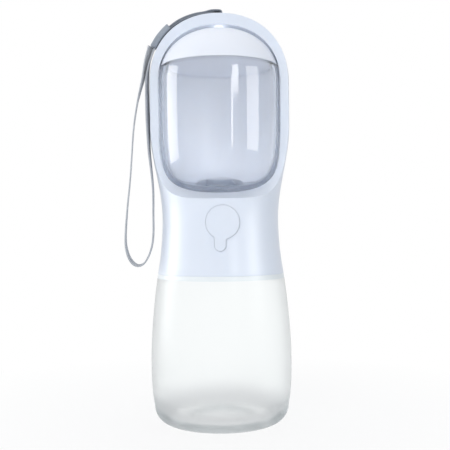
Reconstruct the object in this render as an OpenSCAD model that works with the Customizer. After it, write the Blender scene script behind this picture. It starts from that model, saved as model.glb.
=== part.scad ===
// Dog travel water bottle: a clear screw-off tank under a white head. The head holds a clear half-round
// drinking cup that turns about the bottle's axis, a push button with a water valve, and a webbing wrist strap.
// The bottle stands on z = 0 with its axis on Z. The button and the opening face -Y.

/* [Body] */
// Radius of the bottle at its widest, in the tank
body_r = 35.2; // [34.5:0.1:38]
// How much narrower the head is than the tank, on the radius
head_draw = 0.1; // [0:0.1:0.6]

/* [Tank] */
// Height of the widest place above the foot
tank_wide_z = 32; // [28:1:38]
// Height of the tank's shoulder, where the head begins
tank_h = 74.2; // [70:0.2:84]
// Wall of the tank
tank_wall = 2; // [1.6:0.1:2.6]
// How far the base is drawn in at the top of its rounded corner
corner_draw = 1.6; // [0.8:0.1:2.4]
// Radius of the rounded corner of the base
corner_r = 8.5; // [6:0.5:10]
// Radius of the hollow under the base
punt_r = 17; // [12:0.5:20]
// Height of the hollow under the base
punt_h = 4; // [2:0.5:6]
// Outer radius of the tank's neck
neck_r = 23.6; // [22.6:0.1:23.9]
// Height of the neck above the shoulder
neck_h = 7.8; // [7.4:0.1:8.6]
// Rise of the screw thread in one turn
thread_lead = 3; // [2.8:0.1:3.4]
// Turns of thread that are engaged
thread_turns = 1.25; // [1:0.25:1.25]
// Height of a thread ridge
thread_depth = 1.2; // [1:0.1:1.3]

/* [Head] */
// Radius of the bottle where tank and head meet
joint_r = 31.6; // [31:0.1:33]
// Radius of the waist
waist_r = 29.1; // [28.8:0.1:30.4]
// Height of the waist above the tank
waist_up = 27.8; // [24:0.5:32]
// Height above the tank where the head reaches its full width
swell_up = 73.8; // [68:0.5:80]
// Height above the tank where the crown begins to close
dome_up = 95; // [92:0.5:104]
// Thickness of the head round the bay that the cup stands in
bay_wall = 3.8; // [3.4:0.1:4.4]
// Height of the bay's floor above the tank
bay_floor_up = 38.8; // [38.4:0.2:41]
// Thickness of the crown over the bay
crown_wall = 5.5; // [5.4:0.1:6.3]
// Distance of the opening's edge in front of the axis
scoop_y = 7.5; // [5:0.5:12]
// Radius of the opening's swept lower edge
scoop_r = 23; // [20:0.5:25]
// Height of the lower edge of the opening above the tank
scoop_up = 36.8; // [36.4:0.1:37.4]
// Bore inside the head's neck
core_r = 26.9; // [26.7:0.05:27]

/* [Cup] */
// Gap between the turning cup and its bay
cup_gap = 0.7; // [0.5:0.1:1]
// Gap between the cap's top and the bay's crown
crown_gap = 1.8; // [1.6:0.1:2.4]
// Wall of the clear cup
cup_wall = 2.3; // [2.1:0.1:2.8]
// Thickness of the cup's base
cup_base = 3; // [2.6:0.1:3.4]
// Height of the white cap's edge above the place where the dome begins
cap_over = 8.7; // [6:0.1:12]
// Wall of the white cap
cap_wall = 1.3; // [1.1:0.1:1.4]
// Height of the tongue that holds the cup in the cap
tongue_h = 5; // [3:0.5:7]
// Radius of the spigot that the cup turns on
spigot_r = 5; // [4.8:0.1:5.6]
// Radius of the pivot stub on the cap
stub_r = 1.95; // [1.6:0.05:2.2]
// Angle that the cup turns through
cup_turn = 180; // [90:5:180]

/* [Button] */
// Radius of the round pad
pad_r = 8; // [6.5:0.1:8.4]
// Height of the pad's centre above the tank
pad_up = 25.7; // [24.5:0.1:25.8]
// Distance of the pad's centre to the right of the axis
pad_x = 1.2; // [0:0.1:1.6]
// Width of the tail below the pad
tail_w = 5.4; // [4:0.1:7]
// Length of the tail, from the pad's centre to the tip
tail_len = 13.6; // [11:0.1:13.8]
// Distance that the pad stands out of the neck
pad_proud = 0.8; // [0.4:0.1:1.4]
// Gap round the pad
pad_gap = 0.35; // [0.25:0.05:0.5]
// Distance that the button travels
press = 3; // [2:0.25:3]
// Radius of the push rod
rod_r = 2; // [1.7:0.1:2.2]

/* [Valve] */
// Radius of the valve's bore and seat
seat_r = 4.5; // [4.3:0.1:4.8]
// Radius of the silicone plug
plug_r = 6.2; // [5.6:0.1:6.8]
// Thickness of the silicone plug
plug_t = 1.9; // [1.5:0.1:2.4]
// Radius of the valve stem
stem_r = 1.5; // [1.2:0.1:1.8]
// Thickness of the plate that closes the tank's mouth
plate_t = 1.8; // [1.4:0.1:1.9]
// Inner radius of the spring cage
cage_r = 7.2; // [7:0.1:8.4]
// Depth of the spring cage below the plate
cage_h = 12.3; // [11.5:0.1:16]
// Radius of the circle that the screws stand on
screw_ring_r = 11; // [10:0.1:12]
// Radius of a screw
screw_r = 1.2; // [1:0.05:1.4]

/* [Strap] */
// Width of the webbing
strap_w = 6; // [4:0.5:6.5]
// Thickness of one layer of webbing
strap_t = 0.8; // [0.6:0.1:0.9]
// Width of the keeper
keeper_w = 8.5; // [7:0.5:10]
// Thickness of the keeper
keeper_t = 3.6; // [2.4:0.1:4]
// Radius of the steel pin that holds the strap
pin_r = 0.75; // [0.6:0.05:0.8]

/* [Hidden] */
$fn = 96;

// Clearances: a seam between fixed pieces, a running fit, a loose fit and a face that is never touched
seam = 0.2;
running = 0.06;
slip = 0.1;
loose = 0.3;
// Thickness of the seal on the tank's mouth, and the free height on each side of it
seal_t = 1.5;
seal_gap = 0.15;
// Roundness of the crown and of the bottom of the cup: 2 is a circle, more is squarer
crown_e = 2.2;
bowl_e = 4.6;
// Length of the straight part of the bay below the crown
bay_straight = 4.2;
// Height over which the inside of the tank closes in to the neck
shoulder_h = 3.5;

tank_r = body_r;
corner_top_r = tank_r - corner_draw;
head_r = body_r - head_draw;
bay_r = head_r - bay_wall;
// The crown is as high as it is wide
dome_h = head_r;
bay_dome_h = dome_h - crown_wall;

joint_z = tank_h + seam;
waist_z = tank_h + waist_up;
swell_z = tank_h + swell_up;
dome_z = tank_h + dome_up;
apex_z = dome_z + dome_h;
bay_floor_z = tank_h + bay_floor_up;
bowl_z = dome_z - bay_straight;
scoop_z = tank_h + scoop_up;
cap_z = dome_z + cap_over;
pad_z = tank_h + pad_up;
mouth_z = tank_h + neck_h;
plate_z = mouth_z + seal_t + 2 * seal_gap;
plate_top = plate_z + plate_t;
deck_z = scoop_z - 1.8;
bore_r = neck_r - tank_wall - 0.2;
insert_bore_r = neck_r + thread_depth + loose;
bay_apex_z = dome_z + bay_dome_h;
// Distance past the part that cutting blocks run to
far = 2 * head_r;

// Points from the foot of an arc round c to its end
function arc(c, r, a0, a1, n) = [for (i = [0 : n]) let (a = a0 + (a1 - a0) * i / n) c + r * [cos(a), sin(a)]];
// Quarter of a squared circle, from its side at height z to its top or bottom at z + h
function quarter(r, h, z, e, n) =
    [for (i = [0 : n]) let (a = 90 * i / n) [r * pow(cos(a), 2 / e), z + h * pow(sin(a), 2 / e)]];
function reversed(p) = [for (i = [len(p) - 1 : -1 : 0]) p[i]];
function unit(v) = v / norm(v);

// Height of the crown's outer face at distance r from the axis
function crown_z(r) = dome_z + dome_h * pow(1 - pow(r / head_r, crown_e), 1 / crown_e);
// Outer radius of the tank at height z
function tank_side(z) = z > tank_wide_z
    ? tank_r - (tank_r - joint_r) * pow((z - tank_wide_z) / (tank_h - tank_wide_z), 1.7)
    : tank_r - (tank_r - corner_top_r) * pow((tank_wide_z - z) / (tank_wide_z - corner_r), 3);
// Outer radius of the head at height z, below the crown
function head_side(z) = z < waist_z
    ? waist_r + (joint_r - waist_r) * pow((waist_z - z) / (waist_z - joint_z), 2)
    : let (t = min(1, (z - waist_z) / (swell_z - waist_z))) waist_r + (head_r - waist_r) * t * t * (3 - 2 * t);

// Outline of the tank, drawn in by w, from the flat of the base to the shoulder
function tank_outline(w) = concat(
    arc([corner_top_r - corner_r, corner_r], corner_r - w, -90, 0, 8),
    [for (i = [1 : 16]) let (z = corner_r + (tank_h - corner_r) * i / 16) [tank_side(z) - w, z]]
);
// Outline of the head, moved out by g, from its lower edge to the apex
function head_outline(g) = concat(
    [for (i = [0 : 8]) let (z = joint_z + (waist_z - joint_z) * i / 8) [head_side(z) + g, z]],
    [for (i = [1 : 12]) let (z = waist_z + (swell_z - waist_z) * i / 12) [head_side(z) + g, z]],
    quarter(head_r + g, dome_h + g, dome_z, crown_e, 18)
);
// Lower half of the capsule that the bay and the cup share, drawn in by g and raised by base, and the whole
// of it with its top drawn in by top
function capsule_low(g, base) =
    quarter(bay_r - g, bay_floor_z + base - bowl_z, bowl_z, bowl_e, 18);
function capsule(g, base, top) = concat(
    reversed(capsule_low(g, base)),
    quarter(bay_r - g, bay_dome_h - top, dome_z, crown_e, 18)
);
// Outline of the cup and its cap, g inside the bay's wall, with the larger gap over the cap
function cup_outline(g, base) = capsule(g, base, g + crown_gap - cup_gap);

// Solid skinned over rings of points that run round the same way, with a flat cap at each end
module skin(rings) {
    n = len(rings);
    m = len(rings[0]);
    polyhedron(
        points = [for (ring = rings) for (q = ring) q],
        faces = concat(
            [for (k = [1 : m - 2]) [0, k, k + 1]],
            [for (i = [0 : n - 2]) for (k = [0 : m - 1]) [i * m + k, (i + 1) * m + k, i * m + (k + 1) % m]],
            [for (i = [0 : n - 2]) for (k = [0 : m - 1])
                [i * m + (k + 1) % m, (i + 1) * m + k, (i + 1) * m + (k + 1) % m]],
            [for (k = [1 : m - 2]) [(n - 1) * m, (n - 1) * m + k + 1, (n - 1) * m + k]]
        )
    );
}

// Screw ridge on a wall of radius r, rising from z0. A positive depth stands outward, a negative one inward.
module ridge(r, depth, z0) {
    steps = round(thread_turns * 32);
    root = 0.72;
    crest = 0.28;
    bury = 0.4 * sign(depth);
    skin([for (i = [0 : steps]) let (a = 360 * thread_turns * i / steps, z = z0 + thread_lead * a / 360)
        [for (q = [[r - bury, -root], [r - bury, root], [r + depth, crest], [r + depth, -crest]])
            [q[0] * cos(a), q[0] * sin(a), z + (depth > 0 ? q[1] : -q[1])]]]);
}

// Coil spring on Z, from z = 0 to h, round a mean radius r, of wire radius w
module coil(r, w, h, turns) {
    steps = turns * 16;
    skin([for (i = [0 : steps]) let (a = 360 * turns * i / steps, z = w + (h - 2 * w) * i / steps)
        [for (k = [0 : 5]) let (b = -60 * k, s = r + w * cos(b)) [s * cos(a), s * sin(a), z + w * sin(b)]]]);
}

// Flat band along the points p, with the normals n, the widths w and the thicknesses t
module band(p, n, w, t) {
    last = len(p) - 1;
    skin([for (i = [0 : last]) let (
        run = unit(p[min(i + 1, last)] - p[max(i - 1, 0)]),
        side = unit(cross(run, n[i])),
        up = cross(side, run)
    ) [for (q = [[-1, -1], [-1, 1], [1, 1], [1, -1]]) p[i] + side * q[0] * w[i] / 2 + up * q[1] * t[i] / 2]]);
}

// Cylinder along Y, from y0 to y1
module rod_y(r, y0, y1) {
    translate([0, y1, 0]) rotate([90, 0, 0]) cylinder(r = r, h = y1 - y0);
}
// Ring along Y of round section, as a seal has it
module ring(r, w) {
    rotate_extrude() translate([r, 0]) circle(r = w, $fn = 32);
}

// ---- tank ----
module tank() {
    floor_r = corner_top_r - corner_r;
    color([0.93, 0.97, 1, 0.35]) {
        difference() {
            rotate_extrude() polygon(concat(
                [[0, punt_h], [punt_r * 0.5, punt_h * 0.86], [punt_r * 0.8, punt_h * 0.46], [punt_r, 0]],
                tank_outline(0),
                [[neck_r, tank_h], [neck_r, mouth_z], [0, mouth_z]]
            ));
            rotate_extrude() polygon(concat(
                [[0, punt_h + tank_wall], [punt_r * 0.5, punt_h * 0.86 + tank_wall],
                    [punt_r * 0.85, punt_h * 0.46 + tank_wall]],
                [for (q = tank_outline(tank_wall)) if (q[1] < tank_h - shoulder_h) q],
                [[bore_r, tank_h - tank_wall], [bore_r, mouth_z + 1], [0, mouth_z + 1]]
            ));
        }
        ridge(neck_r, thread_depth, tank_h + 2.5);
    }
}

// Flat silicone ring between the tank's mouth and the plate
module neck_seal() {
    color([0.85, 0.87, 0.9]) translate([0, 0, mouth_z + seal_gap]) difference() {
        cylinder(r = neck_r, h = seal_t);
        translate([0, 0, -1]) cylinder(r = bore_r, h = seal_t + 2);
    }
}

// ---- head ----
// Keyhole outline of the button, in X and Z, moved out by g
module keyhole(g) {
    translate([pad_x, pad_z]) circle(r = pad_r + g);
    tail_end = pad_z - tail_len + tail_w / 2;
    translate([-tail_w / 2 - g, tail_end]) square([tail_w + 2 * g, pad_z - tail_end]);
    translate([0, tail_end]) circle(r = tail_w / 2 + g);
}
module keyhole_y(g, y0, y1) {
    translate([0, y1, 0]) rotate([90, 0, 0]) linear_extrude(y1 - y0) keyhole(g);
}

// Pocket in the crown for the strap's end, and the pivot bore below it
pocket_y = strap_w / 2 + 0.5;
pocket_back = 3;
pocket_front = 4;
stub_depth = 1.5;
web_t = 1;
pivot_top = bay_apex_z + stub_depth;
pocket_floor = pivot_top + web_t;
pin_z = pocket_floor + 0.1 + strap_t + 0.1 + pin_r;
pin_half = 6;
screw_top = bay_floor_z - 1.2;
screw_angles = [90, 210, 330];

module scoop() {
    rotate([90, 0, 90]) translate([0, 0, -far]) linear_extrude(2 * far) polygon(concat(
        [[-far, scoop_z], [-far, apex_z + far], [-scoop_y, apex_z + far]],
        arc([-scoop_y - scoop_r, scoop_z + scoop_r], scoop_r, 0, -90, 12)
    ));
}

module head_shell() {
    color([0.93, 0.95, 0.99]) difference() {
        rotate_extrude() polygon(concat([[0, joint_z]], head_outline(0)));
        rotate_extrude() polygon(capsule(0, 0, 0));
        translate([0, 0, joint_z - 1]) cylinder(r = core_r, h = deck_z - joint_z + 1);
        scoop();
        keyhole_y(pad_gap, -far, -core_r * 0.8);
        translate([0, 0, deck_z - 1]) cylinder(r = spigot_r + slip, h = bay_floor_z - deck_z + 5);
        for (a = screw_angles) rotate(a) translate([screw_ring_r, 0, deck_z - 1])
            cylinder(r = screw_r + 0.05, h = screw_top - deck_z + 1.1);
        translate([0, 0, bay_apex_z - 3]) cylinder(r = stub_r + running, h = pivot_top - bay_apex_z + 3);
        translate([-pocket_front, -pocket_y, pocket_floor])
            cube([pocket_front + pocket_back, 2 * pocket_y, apex_z]);
        translate([0, 0, pin_z]) rod_y(pin_r + 0.03, -pin_half, pin_half);
    }
}

// Ring with the female thread, fixed in the head's neck
module threaded_insert() {
    color([0.88, 0.9, 0.94]) {
        translate([0, 0, joint_z + seam]) difference() {
            cylinder(r = core_r - slip, h = plate_z - slip - joint_z - seam);
            translate([0, 0, -1]) cylinder(r = insert_bore_r, h = plate_z);
        }
        ridge(insert_bore_r, -thread_depth, tank_h + 2.5 - thread_lead / 2 + 0.2);
    }
}

// ---- valve ----
spigot_bore_r = spigot_r - 2;
spigot_top = bay_floor_z + cup_gap + cup_base + 1.2;
ring_z = bay_floor_z + cup_gap + cup_base / 2;
ring_w = 0.6;
flange_r = screw_ring_r + 3;
flange_t = 2.7;
tube_r = seat_r + 1.8;
tube_room = 2.7;
tube_bore_top = pad_z + rod_r + tube_room;
port_y = -15.2;
port_r = rod_r + 2.6;
port_ring_y = -12.2;
gland_y = -13.2;
module valve_body() {
    color([0.9, 0.92, 0.95]) difference() {
        union() {
            translate([0, 0, plate_z]) cylinder(r = core_r - slip, h = plate_t);
            translate([0, 0, plate_z]) cylinder(r = tube_r, h = deck_z - plate_z);
            translate([0, 0, deck_z - flange_t]) cylinder(r = flange_r, h = flange_t);
            translate([0, 0, deck_z - 1]) cylinder(r = spigot_r, h = spigot_top - deck_z + 1);
            translate([0, 0, pad_z]) rod_y(port_r, port_y, 0);
        }
        translate([0, 0, plate_z - 1]) cylinder(r = seat_r, h = tube_bore_top - plate_z + 1);
        cylinder(r = spigot_bore_r, h = spigot_top + 1);
        translate([0, 0, pad_z]) rod_y(rod_r + running, port_y - 1, 0);
        translate([0, 0, pad_z]) rod_y(rod_r + 1.5, port_y - 1, port_ring_y + 0.7);
        translate([0, 0, ring_z - ring_w - 0.1]) difference() {
            cylinder(r = spigot_r + 1, h = 2 * ring_w + 0.2);
            translate([0, 0, -1]) cylinder(r = spigot_r - 2 * ring_w, h = 2 * ring_w + 3);
        }
        for (a = screw_angles) rotate(a) translate([screw_ring_r, 0, deck_z - flange_t - 1])
            cylinder(r = screw_r + slip, h = flange_t + 2);
    }
}

module valve_screws() {
    head_h = 1.5;
    color([0.75, 0.76, 0.78]) for (a = screw_angles) rotate(a) translate([screw_ring_r, 0, deck_z - flange_t]) {
        difference() {
            translate([0, 0, -head_h]) cylinder(r = screw_r * 1.8, h = head_h);
            translate([0, 0, -head_h - 1]) cylinder(r = screw_r * 0.8, h = 1.8, $fn = 6);
        }
        translate([0, 0, -0.2]) cylinder(r = screw_r, h = screw_top - deck_z + flange_t + 0.2);
    }
}

module spigot_ring() {
    color([0.8, 0.83, 0.87]) translate([0, 0, ring_z]) ring(spigot_r - ring_w, ring_w);
}
module port_ring() {
    w = 0.65;
    color([0.8, 0.83, 0.87]) translate([0, port_ring_y, pad_z]) rotate([90, 0, 0]) ring(rod_r + running + w, w);
}
// Bush that holds the port's ring in
module port_gland() {
    color([0.85, 0.87, 0.9]) translate([0, 0, pad_z]) difference() {
        rod_y(rod_r + 1.5 - 0.05, port_y, gland_y + 0.25);
        rod_y(rod_r + running, port_y - 1, gland_y + 1);
    }
}

stem_foot_t = 0.8;
stem_foot_r = stem_r + 1.9;
plug_z = plate_z - loose - plug_t;
stem_foot_z = plug_z - stem_foot_t;
cage_wall = 1.4;
cage_floor_z = plate_z - cage_h;
// Width of the cage's windows, and the rims left below and above them
window_w = 5;
window_foot = 1;
window_head = 3;
module spring_cage() {
    color([0.88, 0.9, 0.94]) translate([0, 0, cage_floor_z]) difference() {
        cylinder(r = cage_r + cage_wall, h = cage_h);
        translate([0, 0, cage_wall]) cylinder(r = cage_r, h = cage_h);
        translate([0, 0, -1]) cylinder(r = stem_r + 1, h = cage_wall + 2);
        for (a = [45, 135]) rotate(a) translate([-far, -window_w / 2, cage_wall + window_foot])
            cube([2 * far, window_w, cage_h - cage_wall - window_foot - window_head]);
    }
}

// The rod's tip and the stem's head meet on a slope of 45 degrees, so a push inward moves the stem down
tip_y = 0.5;
slope_gap = 0.35;
tip_slope_z = pad_z + rod_r - tip_y;
// Everything above the plane z = z0 + y
module slope(z0) {
    rotate([90, 0, 90]) translate([0, 0, -far]) linear_extrude(2 * far)
        polygon([[-far, z0 - far], [far, z0 + far], [-far, z0 + far]]);
}
// Half width and half depth of the stem's head, and its reach below the rod
block_x = 2;
block_y = 3.2;
block_drop = 2.4;
module valve_stem() {
    block_z = pad_z - rod_r - block_drop;
    color([0.92, 0.92, 0.93]) {
        translate([0, 0, stem_foot_z]) cylinder(r = stem_foot_r, h = stem_foot_t);
        translate([0, 0, stem_foot_z]) cylinder(r = stem_r, h = block_z + 1 - stem_foot_z);
        difference() {
            translate([-block_x, -block_y, block_z])
                cube([2 * block_x, 2 * block_y, tube_bore_top - loose - block_z]);
            slope(tip_slope_z - slope_gap);
        }
    }
}
module valve_plug() {
    color([0.8, 0.83, 0.87]) translate([0, 0, plug_z]) difference() {
        cylinder(r = plug_r, h = plug_t);
        translate([0, 0, -1]) cylinder(r = stem_r + 0.02, h = plug_t + 2);
    }
}
module valve_spring() {
    color("silver") translate([0, 0, cage_floor_z + cage_wall])
        coil(stem_r + 2, 0.35, stem_foot_z - cage_floor_z - cage_wall, 5);
}

// ---- button ----
pad_flange_t = 1.4;
pad_flange_y = -24.4;
pad_back_y = pad_flange_y + pad_flange_t;
socket_len = 3.5;
socket_y = pad_back_y + socket_len;
module button_pad() {
    color([0.93, 0.95, 0.99]) difference() {
        union() {
            intersection() {
                keyhole_y(0, -head_r, pad_back_y);
                rotate_extrude() polygon(concat([[0, joint_z]], head_outline(pad_proud)));
            }
            translate([pad_x, 0, pad_z]) rod_y(pad_r + 0.8, pad_flange_y, pad_back_y);
            translate([0, 0, pad_z]) rod_y(rod_r + 1.4, pad_flange_y, socket_y);
        }
        translate([0, 0, pad_z]) rod_y(rod_r + 0.02, pad_back_y - 0.6, socket_y + 1);
    }
}
module button_rod() {
    color([0.9, 0.9, 0.92]) difference() {
        translate([0, 0, pad_z]) rod_y(rod_r, pad_back_y - 0.6, tip_y);
        difference() {
            translate([-far, pad_back_y + pad_flange_t, pad_z - far]) cube(2 * far);
            slope(tip_slope_z);
        }
    }
}
module button_spring() {
    color("silver") translate([0, pad_back_y, pad_z]) rotate([-90, 0, 0])
        coil(rod_r + 2.25, 0.35, port_y - pad_back_y, 4);
}

// ---- cup ----
cup_under_z = bay_floor_z + cup_gap;
cup_floor_z = cup_under_z + cup_base;
hub_r = 12;
hub_h = 3.8;
module half() {
    rotate(180) rotate_extrude(angle = 180) children();
}
module cup() {
    color([0.85, 0.9, 1, 0.35]) difference() {
        union() {
            half() difference() {
                polygon(cup_outline(cup_gap, cup_gap));
                polygon(cup_outline(cup_gap + cup_wall, cup_gap + cup_base));
                translate([-1, cap_z - seam]) square(far);
            }
            half() intersection() {
                difference() {
                    polygon(cup_outline(cup_gap + cap_wall + slip, 0));
                    polygon(cup_outline(cup_gap + cup_wall, 0));
                }
                translate([0, cap_z - 1]) square([head_r, tongue_h + 1]);
            }
            rotate_extrude() polygon(concat([[0, cup_under_z], [hub_r, cup_under_z]],
                quarter(hub_r, hub_h, cup_floor_z, 2, 10)));
        }
        translate([0, 0, cup_under_z - 1]) cylinder(r = spigot_r + running, h = cup_base + 1.5);
        translate([0, 0, cup_floor_z]) cylinder(r = spigot_r + 1, h = 1.9);
        for (a = [225, 270, 315]) rotate(a) translate([spigot_r - 1, 0, cup_floor_z + 1]) rotate([0, 90, 0])
            cylinder(r = 0.9, h = hub_r);
    }
}
module cup_cap() {
    color([0.94, 0.96, 1]) {
        difference() {
            rotate_extrude() intersection() {
                difference() {
                    polygon(cup_outline(cup_gap, 0));
                    polygon(cup_outline(cup_gap + cap_wall, 0));
                }
                translate([0, cap_z]) square(far);
            }
        }
        stub_base_z = bay_apex_z - crown_gap - cap_wall;
        translate([0, 0, stub_base_z]) cylinder(r = stub_r, h = pivot_top - slip - stub_base_z);
        rotate_extrude() polygon([[0, stub_base_z], [stub_r + 1.2, stub_base_z],
            [stub_r + 0.9, bay_apex_z - crown_gap - 0.1], [stub_r, bay_apex_z - 0.15], [0, bay_apex_z - 0.15]]);
    }
}
// Plate that closes the cap from below
cap_plate_t = 1.6;
module cap_plate() {
    share = (cap_z + cap_plate_t + 1 - dome_z) / (bay_dome_h - crown_gap);
    plate_r = (bay_r - cup_gap) * pow(1 - pow(share, crown_e), 1 / crown_e) - cup_wall - seam;
    color([0.94, 0.96, 1]) translate([0, 0, cap_z]) cylinder(r = plate_r, h = cap_plate_t);
}

// ---- strap ----
// Places of the strap's lead on the crown, seen from above, and of the keeper that follows it
lead_xy = [[-7, -0.6], [-11, -1.4], [-15, -2.2], [-18, -2.7]];
keeper_xy = [[-18.5, -2.8], [-22, -3.1], [-25, -3.3], [-28.2, -3.4], [-31.2, -3.5]];
// Height of the folded end of the lead over the pin
fold_up = 3;
// Route of the hanging loop in X and Z, and the place of its plane on Y
strap_y = -3.5;
loop_xz = [
    [-33.8, 187.8], [-36.1, 180], [-38, 172], [-41, 160], [-43, 147], [-44, 134], [-45, 121], [-46.5, 107],
    [-47.5, 92], [-46.5, 84.5], [-44, 80], [-41, 78.5], [-38, 80], [-35.5, 84.5], [-34, 90], [-33.5, 96],
    [-33.5, 104], [-33.5, 116], [-34.3, 126], [-35.3, 136], [-35.9, 151], [-36.1, 164], [-36, 172],
    [-34.9, 179.5], [-32.7, 187.1]
];
function on_crown(q, lift) = let (p = [q[0], q[1], crown_z(norm(q))]) p + lift * outward(p);
function outward(p) = unit(p - [0, 0, dome_z]);
keeper_lift = loose + keeper_t / 2;

module strap_pin() {
    color([0.7, 0.71, 0.73]) translate([0, 0, pin_z]) rod_y(pin_r, 0.1 - pin_half, pin_half - 0.1);
}
module strap_lead() {
    fold_z = pin_z + fold_up;
    route = concat([[1.6, 0, fold_z - 0.8], [-1, -0.1, fold_z], [-3.5, -0.3, fold_z - 0.1]],
        [for (q = lead_xy) on_crown(q, loose + strap_t)]);
    color([0.5, 0.53, 0.57]) {
        translate([0, 0, pin_z]) difference() {
            union() {
                rod_y(pin_r + 0.1 + strap_t, -strap_w / 2, strap_w / 2);
                translate([-strap_t, -strap_w / 2, 0]) cube([2 * strap_t, strap_w, fold_up]);
            }
            rod_y(pin_r + 0.1, -strap_w, strap_w);
        }
        band(route, [for (p = route) outward(p)], [for (p = route) strap_w], [for (p = route) 2 * strap_t]);
    }
}
module strap_keeper() {
    color([0.6, 0.63, 0.68]) {
        route = [for (q = keeper_xy) on_crown(q, keeper_lift)];
        band(route, [for (p = route) outward(p)], [for (p = route) keeper_w], [for (p = route) keeper_t]);
    }
}
module strap_loop() {
    route = [for (q = loop_xz) [q[0], strap_y, q[1]]];
    last = len(route) - 1;
    color([0.6, 0.63, 0.67]) band(
        route,
        [for (i = [0 : last]) let (run = route[min(i + 1, last)] - route[max(i - 1, 0)]) cross(run, [0, 1, 0])],
        [for (p = route) strap_w],
        [for (p = route) strap_t]
    );
}

tank();
neck_seal();
head_shell();
threaded_insert();
valve_body();
valve_screws();
spigot_ring();
port_ring();
port_gland();
spring_cage();
valve_stem();
valve_plug();
valve_spring();
button_pad();
button_rod();
button_spring();
cup();
cup_cap();
cap_plate();
strap_pin();
strap_lead();
strap_keeper();
strap_loop();
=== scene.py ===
import math

import bmesh
import bpy
from mathutils import Matrix, Vector


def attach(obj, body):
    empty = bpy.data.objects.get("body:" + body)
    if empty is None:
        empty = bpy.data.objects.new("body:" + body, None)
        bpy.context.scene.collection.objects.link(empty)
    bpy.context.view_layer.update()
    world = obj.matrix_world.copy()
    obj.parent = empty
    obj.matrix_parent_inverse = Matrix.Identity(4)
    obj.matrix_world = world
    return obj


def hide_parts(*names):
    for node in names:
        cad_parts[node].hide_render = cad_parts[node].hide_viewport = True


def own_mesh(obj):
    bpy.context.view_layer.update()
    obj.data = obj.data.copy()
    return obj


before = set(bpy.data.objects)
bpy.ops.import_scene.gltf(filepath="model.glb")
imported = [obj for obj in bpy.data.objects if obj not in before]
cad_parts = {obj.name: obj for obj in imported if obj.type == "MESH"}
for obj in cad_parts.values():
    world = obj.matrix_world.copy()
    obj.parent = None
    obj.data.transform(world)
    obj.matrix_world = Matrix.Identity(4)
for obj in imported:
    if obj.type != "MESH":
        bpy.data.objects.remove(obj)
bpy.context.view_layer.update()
MM = 0.001

# ---- Camera, floor and light ----
# The bottle is seen from the front at half its height, as on a product table: a pale floor, a white
# background and large soft lamps on both sides and above.
eye_distance = 400 * MM
eye_height = 98.5 * MM
eye_aside = 2.3 * MM
seen_width = 227.3 * MM
film_width = 36
roll = -0.5
camera_data = bpy.data.cameras.new("camera")
camera_data.sensor_width = film_width
camera_data.lens = film_width * eye_distance / seen_width
camera_data.clip_start = 0.01
camera = bpy.data.objects.new("camera", camera_data)
bpy.context.scene.collection.objects.link(camera)
camera.matrix_world = (
    Matrix.Translation((eye_aside, -eye_distance, eye_height))
    @ Matrix.Rotation(math.radians(90), 4, "X")
    @ Matrix.Rotation(math.radians(roll), 4, "Z")
)
bpy.context.scene.camera = camera
bpy.context.scene.view_settings.view_transform = "Standard"


def feed(tree, node, values):
    """Sets the named inputs of a node, or joins them to the sockets given."""
    for name, value in values.items():
        if isinstance(value, bpy.types.NodeSocket):
            tree.links.new(value, node.inputs[name])
        else:
            node.inputs[name].default_value = value


def add_node(tree, kind, values=None, **settings):
    """New shader node with its settings and inputs."""
    node = tree.nodes.new("ShaderNode" + kind)
    for name, value in settings.items():
        setattr(node, name, value)
    feed(tree, node, values or {})
    return node


def span(tree, value, start, end, low=0.0, high=1.0, kind="LINEAR"):
    """A value between start and end, carried over to low and high."""
    return add_node(tree, "MapRange", {"Value": value, "From Min": start, "From Max": end, "To Min": low,
                                       "To Max": high}, interpolation_type=kind).outputs[0]


def new_material(name):
    """A node material with its tree and its Principled shader."""
    mat = bpy.data.materials.new(name)
    mat.use_nodes = True
    return mat, mat.node_tree, mat.node_tree.nodes["Principled BSDF"]


def on_object(tree):
    return add_node(tree, "TexCoord").outputs["Object"]


def looked_at(tree):
    """1 on what the camera sees straight, in a mirror or through clear plastic, and 0 for light bounces."""
    ray = add_node(tree, "LightPath").outputs
    straight = add_node(tree, "Math", {0: ray["Is Camera Ray"], 1: ray["Is Glossy Ray"]}, operation="MAXIMUM")
    return add_node(tree, "Math", {0: straight.outputs[0], 1: ray["Is Transmission Ray"]},
                    operation="MAXIMUM").outputs[0]


def solid(name, bm):
    """Object made of a bmesh, put in the scene."""
    mesh = bpy.data.meshes.new(name)
    bm.to_mesh(mesh)
    bm.free()
    piece = bpy.data.objects.new(name, mesh)
    bpy.context.scene.collection.objects.link(piece)
    return piece


world = bpy.data.worlds.new("studio")
bpy.context.scene.world = world
world.use_nodes = True
sky = world.node_tree
dim_sky = sky.nodes["Background"]
feed(sky, dim_sky, {"Color": (0.90, 0.94, 1.0, 1), "Strength": 0.42})
white_sky = add_node(sky, "Background", {"Color": (1, 1, 1, 1), "Strength": 1})
seen_sky = add_node(sky, "MixShader", {0: looked_at(sky), 1: dim_sky.outputs[0], 2: white_sky.outputs[0]})
feed(sky, sky.nodes["World Output"], {"Surface": seen_sky.outputs[0]})

floor_half = 3
floor_bm = bmesh.new()
bmesh.ops.create_grid(floor_bm, x_segments=1, y_segments=1, size=floor_half)
floor = solid("floor", floor_bm)
floor_mat, floor_tree, floor_paint = new_material("floor")
feed(floor_tree, floor_paint, {"Base Color": (0.86, 0.88, 0.90, 1), "Roughness": 0.6,
                               "Specular IOR Level": 0})
floor_glow = add_node(floor_tree, "Emission", {"Color": (1, 1, 1, 1)})
floor_away = add_node(floor_tree, "VectorMath", {0: on_object(floor_tree)}, operation="LENGTH")
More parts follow.
